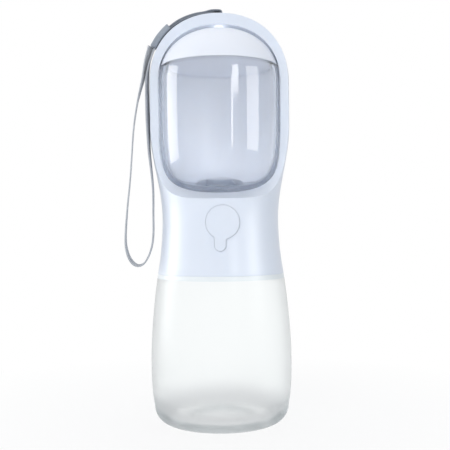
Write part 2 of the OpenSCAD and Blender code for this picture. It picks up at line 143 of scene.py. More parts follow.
# The glow leaves room for the shadow near the bottle
floor_fade = span(floor_tree, floor_away.outputs["Value"], 40 * MM, 200 * MM, 0.86, 1.0)
floor_share = add_node(floor_tree, "Math", {0: looked_at(floor_tree), 1: floor_fade}, operation="MULTIPLY")
floor_mix = add_node(floor_tree, "MixShader", {0: floor_share.outputs[0], 1: floor_paint.outputs[0],
                                               2: floor_glow.outputs[0]})
feed(floor_tree, floor_tree.nodes["Material Output"], {"Surface": floor_mix.outputs[0]})
floor.data.materials.append(floor_mat)


def soft_lamp(name, turn, away, height, size, watts, colour=(1, 1, 1), shine=True, light=True):
    """Area lamp turned by degrees from the camera's side, its distance, height and size in metres."""
    aim = Vector((0, 0, 120 * MM))
    place = Vector((away * math.sin(math.radians(turn)), -away * math.cos(math.radians(turn)), height))
    data = bpy.data.lights.new(name, "AREA")
    data.shape = "RECTANGLE"
    data.size, data.size_y = size
    data.energy = watts
    data.color = colour
    lamp = bpy.data.objects.new(name, data)
    lamp.matrix_world = (Matrix.Translation(place)
                         @ (place - aim).to_track_quat("Z", "Y").to_matrix().to_4x4())
    lamp.visible_glossy = shine
    lamp.visible_transmission = False
    lamp.visible_camera = False
    lamp.visible_diffuse = light
    bpy.context.scene.collection.objects.link(lamp)


# Each side has a fill for the light and, nearer, a box for the reflections: at one distance one hid the other
soft_lamp("key_lamp", -26, 0.75, 0.72, (0.35, 0.35), 2.5, (1.0, 0.99, 0.98), shine=False)
soft_lamp("low_fill", -3, 0.46, 0.03, (0.25, 0.08), 0.42, (1.0, 1.0, 1.0), shine=False)
soft_lamp("left_fill", -98, 0.90, 0.25, (0.40, 0.5), 1.8, (0.98, 0.99, 1.0), shine=False)
soft_lamp("right_fill", 64, 0.90, 0.27, (0.40, 0.42), 0.8, (0.95, 0.98, 1.0), shine=False)
soft_lamp("left_box", -98, 0.80, 0.25, (0.40, 0.5), 3.4, light=False)
soft_lamp("right_box", 64, 0.80, 0.27, (0.36, 0.42), 2.6, light=False)
soft_lamp("strip", 23, 0.80, 0.20, (0.03, 0.26), 0.30, light=False)
soft_lamp("window", 30, 0.80, 0.40, (0.16, 0.22), 1.1, light=False)
soft_lamp("top_lamp", 180, 0.15, 0.9, (0.6, 0.6), 1.7, (0.96, 0.98, 1.0), shine=False)


# ---- Wrist strap: webbing, keeper and loop ----
# Grey woven nylon webbing, 6 mm wide. One end is looped round a steel pin in the crown, both layers run
# over the shoulder into a stitched keeper, and the free loop hangs from the keeper at the bottle's left.
strap_width = 6 * MM
layer = 0.8 * MM
dome_base = 169.2 * MM
dome_high = 35.1 * MM
dome_radius = 35.1 * MM
dome_power = 2.2
pin_height = 203.05 * MM
pin_radius = 0.75 * MM


def smooth_route(points, step):
    """Points every step along a smooth curve through the given ones, both ends included."""
    dense = []
    for i in range(len(points) - 1):
        a, b = points[max(i - 1, 0)], points[i]
        c, d = points[i + 1], points[min(i + 2, len(points) - 1)]
        for k in range(24):
            t = k / 24
            dense.append(0.5 * (2 * b + (c - a) * t + (2 * a - 5 * b + 4 * c - d) * t * t
                                + (3 * b - a - 3 * c + d) * t ** 3))
    dense.append(points[-1])
    lengths = [0.0]
    for p, q in zip(dense, dense[1:]):
        lengths.append(lengths[-1] + (q - p).length)
    count = max(2, round(lengths[-1] / step))
    out, j = [], 0
    for i in range(count + 1):
        want = lengths[-1] * i / count
        while j < len(lengths) - 2 and lengths[j + 1] < want:
            j += 1
        piece = max(lengths[j + 1] - lengths[j], 1e-12)
        out.append(dense[j].lerp(dense[j + 1], min(1.0, (want - lengths[j]) / piece)))
    return out


def rounded_bar(wide, thick, corners=3):
    """Outline of a flat bar with rounded edges, in its own plane, wide along X and thick along Y."""
    r = thick * 0.42
    out = []
    for cx, cy, start in ((1, 1, 0), (-1, 1, 90), (-1, -1, 180), (1, -1, 270)):
        for k in range(corners + 1):
            a = math.radians(start + 90 * k / corners)
            out.append(Vector((cx * (wide / 2 - r) + r * math.cos(a),
                               cy * (thick / 2 - r) + r * math.sin(a), 0)))
    return out


def sweep(name, outline, route, normals):
    """Closed solid: the outline carried along the route, its Y along the normals, with UVs in metres."""
    bm = bmesh.new()
    uv = bm.loops.layers.uv.new("along")
    last = len(route) - 1
    frames = []
    for i, p in enumerate(route):
        run = (route[min(i + 1, last)] - route[max(i - 1, 0)]).normalized()
        side = run.cross(normals[i]).normalized()
        frames.append(Matrix.Translation(p) @ Matrix((side, side.cross(run), run)).transposed().to_4x4())
    start = [bm.verts.new(frames[0] @ p) for p in outline]
    edges = [bm.edges.new((start[k], start[(k + 1) % len(start)])) for k in range(len(start))]
    bm.faces.new(start)
    place = {v: (0.0, k) for k, v in enumerate(start)}
    along = 0.0
    ring = start
    for i in range(1, last + 1):
        along += (route[i] - route[i - 1]).length
        made = bmesh.ops.extrude_edge_only(bm, edges=edges)["geom"]
        ring_edges = [g for g in made if isinstance(g, bmesh.types.BMEdge)]
        new = [g for g in made if isinstance(g, bmesh.types.BMVert)]
        back = frames[i - 1].inverted()
        for v in new:
            local = back @ v.co
            k = min(range(len(outline)), key=lambda j: (outline[j] - local).length)
            v.co = frames[i] @ outline[k]
            place[v] = (along, k)
        edges = [e for e in ring_edges if all(v in new for v in e.verts)]
        ring = new
    bm.faces.new(sorted(ring, key=lambda v: -place[v][1]))
    spread = [0.0]
    for k in range(len(outline)):
        spread.append(spread[-1] + (outline[(k + 1) % len(outline)] - outline[k]).length)
    for face in bm.faces:
        ks = [place[loop.vert][1] for loop in face.loops]
        for loop in face.loops:
            s, k = place[loop.vert]
            if max(ks) - min(ks) > len(outline) / 2 and k == 0 and len(ks) == 4:
                k = len(outline)
            loop[uv].uv = (s, spread[k])
    bmesh.ops.recalc_face_normals(bm, faces=bm.faces)
    for face in bm.faces:
        face.smooth = True
    return solid(name, bm)


def ramp(tree, amount, dark, light, start=0.0, end=1.0, blend="LINEAR"):
    """Colour between dark and light as the amount goes from start to end."""
    node = add_node(tree, "ValToRGB", {"Fac": amount})
    node.color_ramp.interpolation = blend
    for element, place, colour in zip(node.color_ramp.elements, (start, end), (dark, light)):
        element.position = place
        element.color = (*colour, 1)
    return node.outputs["Color"]


def bump(tree, height, strength, distance):
    return add_node(tree, "Bump", {"Height": height, "Strength": strength, "Distance": distance}).outputs[0]


def noise(tree, scale, detail=2):
    """Soft noise in the object's own coordinates."""
    return add_node(tree, "TexNoise", {"Vector": on_object(tree), "Scale": scale,
                                       "Detail": detail}).outputs["Fac"]


def webbing_material(name, dark, light, pitch):
    """Woven nylon tape: diagonal ribs of yarn along the tape, with soft colour variation and fuzz."""
    mat, tree, paint = new_material(name)
    tape = add_node(tree, "Mapping", {"Vector": add_node(tree, "TexCoord").outputs["UV"],
                                      "Scale": (1 / pitch, 1 / pitch, 1)}).outputs[0]
    ribs = add_node(tree, "TexWave", {"Vector": tape, "Scale": 0.45, "Distortion": 0.6, "Detail": 1},
                    wave_type="BANDS", bands_direction="DIAGONAL")
    cross = add_node(tree, "TexWave", {"Vector": tape, "Scale": 0.62}, wave_type="BANDS", bands_direction="X")
    weave = add_node(tree, "Math", {0: ribs.outputs["Fac"], 1: cross.outputs["Fac"]},
                     operation="MULTIPLY").outputs[0]
    shade = add_node(tree, "Math", {0: weave, 1: noise(tree, 180, 3)}, operation="ADD").outputs[0]
    feed(tree, paint, {"Base Color": ramp(tree, shade, dark, light, start=0.35),
                       "Normal": bump(tree, weave, 0.35, 0.1 * MM),
                       "Roughness": 0.75, "Sheen Weight": 0.3, "Sheen Roughness": 0.4})
    return mat


# The lead and the loop are one tape: the lead's copy is painted darker as painted shade and the loop's
# lighter as painted light
webbing = webbing_material("webbing", (0.16, 0.18, 0.21), (0.27, 0.30, 0.34), 0.45 * MM)
lit_loop_webbing = webbing_material("lit_loop_webbing", (0.42, 0.44, 0.47), (0.55, 0.57, 0.60), 0.45 * MM)
keeper_cloth = webbing_material("keeper_cloth", (0.27, 0.30, 0.35), (0.38, 0.42, 0.47), 0.5 * MM)


def on_crown(x, y, lift):
    """A point on the crown over (x, y), moved out by lift."""
    r = math.hypot(x, y)
    high = dome_base + dome_high * (1 - (r / dome_radius) ** dome_power) ** (1 / dome_power)
    p = Vector((x, y, high))
    return p + lift * off_crown(p)


def off_crown(p):
    """Direction straight out of the crown at p."""
    return (p - Vector((0, 0, dome_base))).normalized()


loop_y = -3.5 * MM
# Places of the loop in X and Z with the twist of the tape there, in degrees
loop_bends = [
    (-33.8, 187.8, 26), (-36.1, 180, 20), (-38, 172, 4), (-41, 160, -6), (-43, 147, -7), (-44, 134, -7),
    (-45, 121, -7), (-46.5, 107, -6), (-47.5, 92, -3), (-46.5, 84.5, 2), (-44, 80, 6), (-41, 78.5, 5),
    (-38, 80, 3), (-35.5, 84.5, 3), (-34, 90, 3), (-33.5, 96, 3), (-33.5, 104, 3), (-33.5, 116, 2),
    (-34.3, 126, 0), (-35.3, 136, -4), (-35.9, 151, -9), (-36.1, 164, -9), (-36, 172, -7), (-34.9, 179.5, 4),
    (-32.7, 187.1, 20),
]
loop_route = smooth_route([Vector((x * MM, loop_y, z * MM)) for x, z, _ in loop_bends], 1.1 * MM)
bend_run = [0.0]
for (x0, z0, _), (x1, z1, _) in zip(loop_bends, loop_bends[1:]):
    bend_run.append(bend_run[-1] + math.hypot(x1 - x0, z1 - z0))


def twist_at(share):
    """Twist of the tape at a share of the loop's length, in degrees."""
    want = share * bend_run[-1]
    k = max(i for i in range(len(bend_run) - 1) if bend_run[i] <= want)
    return loop_bends[k][2] + (loop_bends[k + 1][2] - loop_bends[k][2]) * (want - bend_run[k]) / (
        bend_run[k + 1] - bend_run[k])


loop_normals = []
for i in range(len(loop_route)):
    run = (loop_route[min(i + 1, len(loop_route) - 1)] - loop_route[max(i - 1, 0)]).normalized()
    turn = math.radians(twist_at(i / (len(loop_route) - 1)))
    loop_normals.append(Matrix.Rotation(turn, 3, run) @ run.cross(Vector((0, 1, 0))))
wrist_loop = sweep("wrist_loop", rounded_bar(strap_width, layer), loop_route, loop_normals)
wrist_loop.data.materials.append(lit_loop_webbing)
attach(wrist_loop, "head")
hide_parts("strap_loop")

lower_lift = 0.72 * MM
upper_lift = 1.54 * MM
lead_xy = [(-7, -0.6), (-11, -1.4), (-15, -2.2), (-18, -2.7), (-21, -3), (-25, -3.3)]
under = [on_crown(x * MM, y * MM, lower_lift) for x, y in lead_xy]
over = [on_crown(x * MM, y * MM, upper_lift) for x, y in lead_xy]
round_pin = pin_radius + 0.12 * MM + layer / 2
fold_top = pin_height + 3.4 * MM
lead_points = list(reversed(under)) + [Vector((-3.9 * MM, -0.3 * MM, 205.2 * MM)),
                                       Vector((-2.2 * MM, 0, pin_height + 1.9 * MM))]
for degrees in (200, 245, 290, 335, 20):
    a = math.radians(degrees)
    lead_points.append(Vector((round_pin * math.cos(a), 0, pin_height + round_pin * math.sin(a))))
lead_points += [Vector((1.5 * MM, 0, fold_top - 1.1 * MM)), Vector((0.9 * MM, 0, fold_top - 0.2 * MM)),
                Vector((-1.0 * MM, -0.1 * MM, fold_top)),
                Vector((-3.8 * MM, -0.3 * MM, fold_top - 0.15 * MM))] + over
lead_route = smooth_route(lead_points, 0.6 * MM)
lead_normals = []
for i in range(len(lead_route)):
    run = lead_route[min(i + 1, len(lead_route) - 1)] - lead_route[max(i - 1, 0)]
    lead_normals.append(run.cross(Vector((0, 1, -off_crown(lead_route[i]).y * 0.9))).normalized())
wrist_lead = sweep("wrist_lead", rounded_bar(strap_width, layer * 0.95), lead_route, lead_normals)
wrist_lead.data.materials.append(webbing)
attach(wrist_lead, "head")
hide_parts("strap_lead")

keeper_wide = 7.2 * MM
keeper_thick = 3.1 * MM
keeper_lift = 1.9 * MM
keeper_xy = [(-23.8, -3.2), (-26, -3.3), (-28.7, -3.4), (-31.2, -3.5)]
keeper_route = smooth_route([on_crown(x * MM, y * MM, keeper_lift) for x, y in keeper_xy], 0.6 * MM)
wrist_keeper = sweep("wrist_keeper", rounded_bar(keeper_wide, keeper_thick, 6), keeper_route,
                     [off_crown(p) for p in keeper_route])
wrist_keeper.data.materials.append(keeper_cloth)
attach(wrist_keeper, "head")
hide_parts("strap_keeper")


# ---- Tank ----
# The clear tank is one blow-moulded piece of hard plastic, 2 mm thick, with a hollow in its base and a
# screw neck. Its shoulder is flush with the head at the joint line.
def lathe(name, profile, steps=144, angle=2 * math.pi, smooth_over=40):
    """Closed solid turned about Z from a closed outline of (radius, height) pairs, in metres."""
    bm = bmesh.new()
    verts = [bm.verts.new((r, 0, z)) for r, z in profile]
    full = angle >= 2 * math.pi
    if full:
        geom = [bm.edges.new((a, b)) for a, b in zip(verts, verts[1:] + verts[:1])
                if not (a.co.x < 1e-7 and b.co.x < 1e-7)]
    else:
        geom = [bm.faces.new(verts)]
    bmesh.ops.spin(bm, geom=verts + geom if full else geom + list(bm.edges) + verts, cent=(0, 0, 0),
                   axis=(0, 0, 1), angle=angle, steps=steps, use_merge=full)
    bmesh.ops.remove_doubles(bm, verts=bm.verts, dist=2e-6)
    bmesh.ops.recalc_face_normals(bm, faces=bm.faces)
    piece = solid(name, bm)
    piece.data.shade_smooth()
    piece.data.set_sharp_from_angle(angle=math.radians(smooth_over))
    return piece


def clear_plastic(name, tint, rough, ior, soak, depth, shade, waviness):
    """Clear moulded plastic: faint flow waves in its surface and a tint that deepens with thickness."""
    mat, tree, paint = new_material(name)
    waves = noise(tree, 22, 1)
    feed(tree, paint, {"Base Color": (*tint, 1), "Transmission Weight": 1, "IOR": ior,
                       "Normal": bump(tree, waves, waviness, 0.2 * MM),
                       "Roughness": span(tree, waves, 0, 1, rough * 0.6, rough * 1.4)})
    volume = add_node(tree, "VolumeAbsorption", {"Color": (*soak, 1), "Density": depth})
    let_by = add_node(tree, "BsdfTransparent", {"Color": (*shade, 1)})
    shadow = add_node(tree, "LightPath").outputs["Is Shadow Ray"]
    mix = add_node(tree, "MixShader", {0: shadow, 1: paint.outputs[0], 2: let_by.outputs[0]})
    feed(tree, tree.nodes["Material Output"], {"Volume": volume.outputs[0], "Surface": mix.outputs[0]})
    return mat


def second_material(piece, where):
    """Gives the piece's second material to the faces where(distance from the axis, height) holds."""
    for face in piece.data.polygons:
        x, y, z = face.center
        face.material_index = int(where(math.hypot(x, y), z))


tank_high = 74.2 * MM
tank_wide = 35.2 * MM
tank_wide_height = 32 * MM
corner_top = 33.6 * MM
corner_round = 8.5 * MM
joint_radius = 31.6 * MM
wall = 2 * MM
neck_radius = 23.6 * MM
neck_bore = 21.4 * MM
mouth_height = 82 * MM
punt_radius = 17 * MM
punt_height = 4 * MM


def tank_side(z):
    """Outer radius of the tank at the height z."""
    if z > tank_wide_height:
        t = (z - tank_wide_height) / (tank_high - tank_wide_height)
        return tank_wide - (tank_wide - joint_radius) * t ** 1.7
    t = (tank_wide_height - z) / (tank_wide_height - corner_round)
    return tank_wide - (tank_wide - corner_top) * t ** 3


def tank_wall(stop):
    """Outline of the tank's wall from the flat of the base up to the height stop."""
    out = []
    for k in range(15):
        a = math.radians(-90 + 90 * k / 14)
        out.append((corner_top - corner_round + corner_round * math.cos(a),
                    corner_round + corner_round * math.sin(a)))
    for k in range(1, 41):
        z = corner_round + (stop - corner_round) * k / 40
        out.append((tank_side(z), z))
    return out


def punt(lift, steps=14):
    """The hollow of the base, from the axis out to its rim, raised by lift."""
    return [(punt_radius * k / steps, lift + punt_height * math.cos(math.pi / 2 * k / steps) ** 1.4)
            for k in range(steps)]


outer = punt(0) + [(punt_radius, 0.05 * MM), (punt_radius + 1 * MM, 0)] + tank_wall(tank_high - 0.4 * MM)
shoulder = [(joint_radius - 0.02 * MM, tank_high + 0.12 * MM),
            (joint_radius - 0.08 * MM, tank_high + 0.17 * MM)]
heel_round = 13 * MM
floor_thick = 3.4 * MM
roof = tank_high - 0.8 * MM
neck = [(neck_radius + 0.6 * MM, tank_high + 0.17 * MM), (neck_radius, tank_high + 0.7 * MM),
        (neck_radius, mouth_height - 0.4 * MM), (neck_radius - 0.4 * MM, mouth_height),
        (neck_bore + 0.4 * MM, mouth_height), (neck_bore, mouth_height - 0.4 * MM)]
inner_neck = [(neck_bore, tank_high - 0.4 * MM), (neck_bore + 0.8 * MM, roof),
              (joint_radius - 3.6 * MM, roof), (joint_radius - 2.4 * MM, roof - 0.3 * MM),
              (tank_side(roof - 1.4 * MM) - wall, roof - 1.4 * MM)]
heel_top = floor_thick + heel_round
heel_centre = tank_side(heel_top) - wall - heel_round
inner_wall = [(tank_side(z) - wall, z) for z in
              [heel_top + (roof - 2.4 * MM - heel_top) * k / 40 for k in range(41)]]
inner_heel = [(heel_centre + heel_round * math.sin(a), floor_thick + heel_round * (1 - math.cos(a)))
              for a in [math.pi / 2 * k / 16 for k in range(16)]]
inner = list(reversed(punt(floor_thick) + inner_heel + inner_wall))
tank = lathe("tank_shell", outer + shoulder + neck + inner_neck + inner, steps=288)
tank_plastic = clear_plastic("tank_plastic", (1, 1, 1), 0.16, 1.14, (0.64, 0.70, 0.72), 26,
                             (0.985, 0.99, 0.99), 0.0)
# Painted shade: the colour greys towards the base and more in its lower corner, where the plastic is
# thickest, and it is rougher and softer there
tank_tree = tank_plastic.node_tree
tank_z = add_node(tank_tree, "SeparateXYZ", {0: on_object(tank_tree)}).outputs["Z"]
tank_level = add_node(tank_tree, "VectorMath", {0: on_object(tank_tree), 1: (1, 1, 0)}, operation="MULTIPLY")
tank_reach = add_node(tank_tree, "VectorMath", {0: tank_level.outputs[0]},
                      operation="LENGTH").outputs["Value"]
tank_tint_and_base_shade = ramp(tank_tree, span(tank_tree, tank_z, 0, 40 * MM), (0.92, 0.92, 0.92), (0.99, 1.0, 1.0),
                 end=0.26, blend="EASE")
tank_corner_shade_mask = add_node(tank_tree, "Math", {0: span(tank_tree, tank_reach, 22 * MM, 32 * MM),
                                           1: span(tank_tree, tank_z, 0, 17 * MM, 1, 0, "SMOOTHSTEP")},
                       operation="MULTIPLY").outputs[0]
tank_shaded_colour = add_node(tank_tree, "MixRGB", {"Fac": tank_corner_shade_mask, "Color1": tank_tint_and_base_shade,
                                           "Color2": (0.66, 0.66, 0.67, 1)})
feed(tank_tree, tank_tree.nodes["Principled BSDF"], {
    "Base Color": tank_shaded_colour.outputs["Color"],
    "Roughness": span(tank_tree, tank_z, 2 * MM, 13 * MM, 0.45, 0.30, "SMOOTHSTEP")})
tank.data.materials.append(tank_plastic)
# The top of the wall, under the joint, is frosted
tank_rim, rim_tree, rim_paint = new_material("tank_rim")
feed(rim_tree, rim_paint, {
    "Base Color": ramp(rim_tree, noise(rim_tree, 300), (0.85, 0.89, 0.90), (0.89, 0.93, 0.94)),
    "Roughness": 0.35})
tank.data.materials.append(tank_rim)
second_material(tank, lambda r, z: z > roof - 0.5 * MM and r > tank_side(z) - 0.5 * MM)
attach(tank, "tank")
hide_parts("tank")

ridge_turns = 1.25
ridge_lead = 3 * MM
ridge_radius = neck_radius + 0.35 * MM
ridge_start = tank_high + 2.5 * MM
ridge_route = []
for k in range(121):
    a = 2 * math.pi * ridge_turns * k / 120
    ridge_route.append(Vector((ridge_radius * math.cos(a), ridge_radius * math.sin(a),
                               ridge_start + ridge_lead * a / (2 * math.pi))))
ridge_section = [Vector((x * MM, y * MM, 0)) for x, y in
                 [(-0.72, -0.75), (-0.66, -0.2), (-0.42, 0.5), (-0.28, 0.75), (0.28, 0.75), (0.42, 0.5),
                  (0.66, -0.2), (0.72, -0.75)]]
neck_thread = sweep("neck_thread", ridge_section, ridge_route,
                    [Vector((p.x, p.y, 0)).normalized() for p in ridge_route])
neck_thread.data.materials.append(tank_plastic)
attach(neck_thread, "tank")
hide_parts("tank")

# ---- Head shell ----
# The head is one injection-moulded piece of white plastic: a smooth outer skin, the bay that the cup turns
# in, and a rolled edge where the swept opening meets both.
scoop_front = 7.5 * MM
scoop_round = 23 * MM
scoop_low = 111 * MM
joint_height = 74.4 * MM
waist_radius = 29.1 * MM
waist_height = 102 * MM
swell_height = 148 * MM
bay_radius = 31.3 * MM
bay_floor = 113 * MM
bay_wide = 165 * MM
bay_crown = 29.6 * MM
bowl_power = 4.6
core_radius = 26.9 * MM
deck_height = 109.2 * MM


def quarter(r, h, z, power, steps):
    """Quarter of a squared circle, from its side at height z to its top or bottom."""
    out = []
    for k in range(steps + 1):
        a = math.pi / 2 * k / steps
        out.append((r * math.cos(a) ** (2 / power) if k < steps else 0.0, z + h * math.sin(a) ** (2 / power)))
    return out


def head_side(z):
    """Outer radius of the head below its crown at the height z."""
    if z < waist_height:
        t = (waist_height - z) / (waist_height - joint_height)
        return waist_radius + (joint_radius - waist_radius) * t ** 2
    t = min(1.0, (z - waist_height) / (swell_height - waist_height))
    return waist_radius + (dome_radius - waist_radius) * t * t * (3 - 2 * t)


def capsule(gap, floor_gap, top_gap):
    """Outline that the bay and the cup share, from the axis at the floor round to the axis at the crown."""
    low = quarter(bay_radius - gap, bay_floor + floor_gap - bay_wide, bay_wide, bowl_power, 90)
    return list(reversed(low)) + quarter(bay_radius - gap, bay_crown - top_gap, dome_base, dome_power, 60)


def edge_radius(profile, z):
    """Radius of the outline where it rises through the height z."""
    for (r0, z0), (r1, z1) in zip(profile, profile[1:]):
        if z0 <= z <= z1 and z1 > z0:
            return r0 + (r1 - r0) * (z - z0) / (z1 - z0)
    return profile[-1][0]


def measured(profile):
    """The outline with the distance along it at each point."""
    run = [0.0]
    for (r0, z0), (r1, z1) in zip(profile, profile[1:]):
        run.append(run[-1] + math.hypot(r1 - r0, z1 - z0))
    return profile, run


def at(line, m):
    """Radius and height at the distance m along a measured outline."""
    profile, run = line
    m = min(max(m, 0.0), run[-1])
    lo, hi = 0, len(run) - 1
    while hi - lo > 1:
        mid = (lo + hi) // 2
        lo, hi = (mid, hi) if run[mid] <= m else (lo, mid)
    t = (m - run[lo]) / max(run[hi] - run[lo], 1e-12)
    return tuple(p + (q - p) * t for p, q in zip(profile[lo], profile[hi]))


def scoop_point(q):
    """Distance in front of the axis and height of the opening's swept cut, q along it from its foot."""
    bend = scoop_round * math.pi / 2
    if q < bend:
        a = q / scoop_round
        return scoop_front + scoop_round * (1 - math.sin(a)), scoop_low + scoop_round * (1 - math.cos(a))
    return scoop_front, scoop_low + scoop_round + q - bend


def cut_curve(line, m0, m1, count):
    """Where the cut meets a turned surface between m0 and m1: count + 1 even points (m, angle, x, q)."""
    def m_at(z):
        lo, hi = m0, m1
        for _ in range(44):
            mid = (lo + hi) / 2
            lo, hi = (mid, hi) if at(line, mid)[1] < z else (lo, mid)
        return (lo + hi) / 2

    def inside(q):
        y, z = scoop_point(q)
        return at(line, m_at(z))[0] - y

    q_lo, q_mid = 0.0, scoop_round * 1.2
    for _ in range(44):
        mid = (q_lo + q_mid) / 2
        q_lo, q_mid = (q_lo, mid) if inside(mid) > 0 else (mid, q_mid)
    q_start = q_mid
    q_hi, q_in = scoop_round * 1.57 + 90 * MM, scoop_round * 1.57 + 30 * MM
    for _ in range(44):
        mid = (q_hi + q_in) / 2
        q_hi, q_in = (q_hi, mid) if inside(mid) > 0 else (mid, q_in)
    q_end = q_in
    dense = []
    for k in range(601):
        q = q_start + (q_end - q_start) * (1 - math.cos(math.pi * k / 600)) / 2
        y, z = scoop_point(q)
        m = m_at(z)
        r = at(line, m)[0]
        x = math.sqrt(max(r * r - y * y, 0.0)) if 0 < k < 600 else 0.0
        dense.append((m, math.atan2(x, y), x, q, Vector((x, y, z))))
    lengths = [0.0]
    for a, b in zip(dense, dense[1:]):
        lengths.append(lengths[-1] + (b[4] - a[4]).length)
    out, j = [], 0
    for i in range(count + 1):
        want = lengths[-1] * i / count
        while j < len(lengths) - 2 and lengths[j + 1] < want:
            j += 1
        t = (want - lengths[j]) / max(lengths[j + 1] - lengths[j], 1e-12)
        a, b = dense[j], dense[j + 1]
        out.append(tuple(a[n] + (b[n] - a[n]) * t for n in range(4)))
    return out


def mapped_grid(bm, across, up, place):
    """A flat grid whose points are moved to place(s, t), with s and t from 0 to 1."""
    made = bmesh.ops.create_grid(bm, x_segments=across, y_segments=up, size=1)["verts"]
    for v in made:
        v.co = place((v.co.x + 1) / 2, (v.co.y + 1) / 2)


def turned(line, m, angle):
    """Point of the turned surface at the distance m along its outline, angle round from the front."""
    r, z = at(line, m)
    return Vector((r * math.sin(angle), -r * math.cos(angle), z))


# Each half of a turned surface has rows up beside the opening and columns from it round to the back
rows = 120
columns = 80
# Share of the way round that the first column beside the opening takes, so that its edge can be rounded
room = 0.022


def column(s):
    """Share of the half turn at which a column of the grid stands."""
    return room + (1 - room) * s if s > 0.5 / columns else 0


def cut_skin(bm, line, m_from, m_to, curve, m_back, low_rows, top_rows):
    """Half of a turned surface with the opening left out: below, beside and above the cut curve."""
    def on_row(i, s):
        m, angle = curve[i][:2]
        back = m_back + (curve[-1][0] - m_back) * i / rows
        s = column(s)
        ease = s * s * (3 - 2 * s)
        return m + (back - m) * ease, angle + (math.pi - angle) * s

    def beside(s, t):
        m, angle = on_row(round(t * rows), s)
        return turned(line, m, angle)

    def below(s, t):
        m, angle = on_row(0, s)
        return turned(line, m_from + (m - m_from) * t, angle)

    def above(s, t):
        return turned(line, curve[-1][0] + (m_to - curve[-1][0]) * t, math.pi * column(s))

    mapped_grid(bm, columns, rows, beside)
    mapped_grid(bm, columns, low_rows, below)
    mapped_grid(bm, columns, top_rows, above)


skin_side = [(head_side(z), z) for z in
             [joint_height + (dome_base - joint_height) * k / 160 for k in range(160)]]
skin = measured(skin_side + quarter(dome_radius, dome_high, dome_base, dome_power, 60))
bay = measured(capsule(0, 0, 0))
skin_cut = cut_curve(skin, 20 * MM, skin[1][-1], rows)
bay_cut = cut_curve(bay, 10 * MM, bay[1][-1], rows)

head_bm = bmesh.new()
cut_skin(head_bm, skin, 0.0, skin[1][-1], skin_cut, m_back=18 * MM, low_rows=17, top_rows=3)
spigot_hole = 5.1 * MM
pivot_bore = 2.01 * MM
pivot_top = 200.3 * MM
bay_top = bay[1][-1] - pivot_bore
cut_skin(head_bm, bay, spigot_hole, bay_top, bay_cut, m_back=14 * MM, low_rows=7, top_rows=2)


def across_lip(s, t):
    """The opening's edge, from the skin at s = 0 in to the bay's wall at s = 1."""
    i = round(t * rows)
    a, b = skin_cut[i], bay_cut[i]
    y, z = scoop_point(a[3] + (b[3] - a[3]) * s)
    return Vector((a[2] + (b[2] - a[2]) * s, -y, z))


mapped_grid(head_bm, 1, rows, across_lip)
core = [(joint_radius, joint_height), (core_radius, joint_height), (core_radius, deck_height),
        (spigot_hole, deck_height), (spigot_hole, at(bay, spigot_hole)[1])]


def core_place(points, parts):
    """Places a grid on the half turn of an outline that has this number of straight parts."""
    def place(s, t):
        at_point = t * parts
        i = min(int(at_point + 1e-9), parts - 1)
        f = at_point - i
        r = points[i][0] + (points[i + 1][0] - points[i][0]) * f
        z = points[i][1] + (points[i + 1][1] - points[i][1]) * f
        angle = math.pi * column(s)
        return Vector((r * math.sin(angle), -r * math.cos(angle), z))
    return place


mapped_grid(head_bm, columns, 4, core_place(core, 4))
bore = [at(bay, bay_top), (pivot_bore, pivot_top), (0.0, pivot_top)]
mapped_grid(head_bm, columns, 2, core_place(bore, 2))
bmesh.ops.remove_doubles(head_bm, verts=head_bm.verts, dist=4e-6)
bmesh.ops.mirror(head_bm, geom=list(head_bm.verts) + list(head_bm.edges) + list(head_bm.faces), axis="X",
                 merge_dist=4e-6)
bmesh.ops.remove_doubles(head_bm, verts=head_bm.verts, dist=4e-6)
bmesh.ops.dissolve_degenerate(head_bm, dist=1e-6, edges=head_bm.edges)
bmesh.ops.recalc_face_normals(head_bm, faces=head_bm.faces)


def near_cut(edge):
    """Whether an edge lies where the swept opening was cut."""
    return all(v.co.z > scoop_low - 0.2 * MM and v.co.y < 0.2 * MM - scoop_front for v in edge.verts)


lip_round = 1.75 * MM
rim_break = 0.06 * MM
lip_edges = [e for e in head_bm.edges if e.is_manifold and near_cut(e) and e.calc_face_angle(0) > 0.5]
bmesh.ops.bevel(head_bm, geom=lip_edges, offset=lip_round, offset_type="OFFSET", segments=8, profile=0.5,
                affect="EDGES", material=-1, clamp_overlap=True)
rim_edges = [e for e in head_bm.edges if e.is_manifold and e.calc_face_angle(0) > 0.8
             and all(abs(v.co.z - joint_height) < 0.02 * MM for v in e.verts)]
bmesh.ops.bevel(head_bm, geom=rim_edges, offset=rim_break, offset_type="OFFSET", segments=3, profile=0.5,
                affect="EDGES", material=-1, clamp_overlap=True)
head = solid("head_skin", head_bm)

pad_aside = 1.2 * MM
pad_height = 99.9 * MM
pad_radius = 8 * MM
tail_half = 2.7 * MM
tail_length = 13.6 * MM


def keyhole(grow, corners=48):
    """Outline of the push pad in X and Z: a round pad with a short tail below it, moved out by grow."""
    r = pad_radius + grow
    half = tail_half + grow
    tail_z = pad_height - tail_length + tail_half
    left = math.asin((-half - pad_aside) / r)
    right = math.asin((half - pad_aside) / r)
    out = []
    for k in range(corners + 1):
        a = right + (2 * math.pi + left - right) * k / corners
        out.append((pad_aside + r * math.sin(a), pad_height - r * math.cos(a)))
    for k in range(1, 6):
        out.append((-half, out[-1][1] + (tail_z - out[-1][1]) * k / 5))
    for k in range(1, 12):
        a = math.pi * k / 12
        out.append((-half * math.cos(a), tail_z - half * math.sin(a)))
    low = out[0][1]
    for k in range(5):
        out.append((half, tail_z + (low - tail_z) * k / 5))
    return out


window_gap = 0.14 * MM
window_bm = bmesh.new()
window_face = window_bm.faces.new([window_bm.verts.new((x, -40 * MM, z)) for x, z in keyhole(window_gap)])
pushed = bmesh.ops.extrude_face_region(window_bm, geom=[window_face])["geom"]
bmesh.ops.translate(window_bm, verts=[g for g in pushed if isinstance(g, bmesh.types.BMVert)],
                    vec=(0, 20 * MM, 0))
bmesh.ops.recalc_face_normals(window_bm, faces=window_bm.faces)


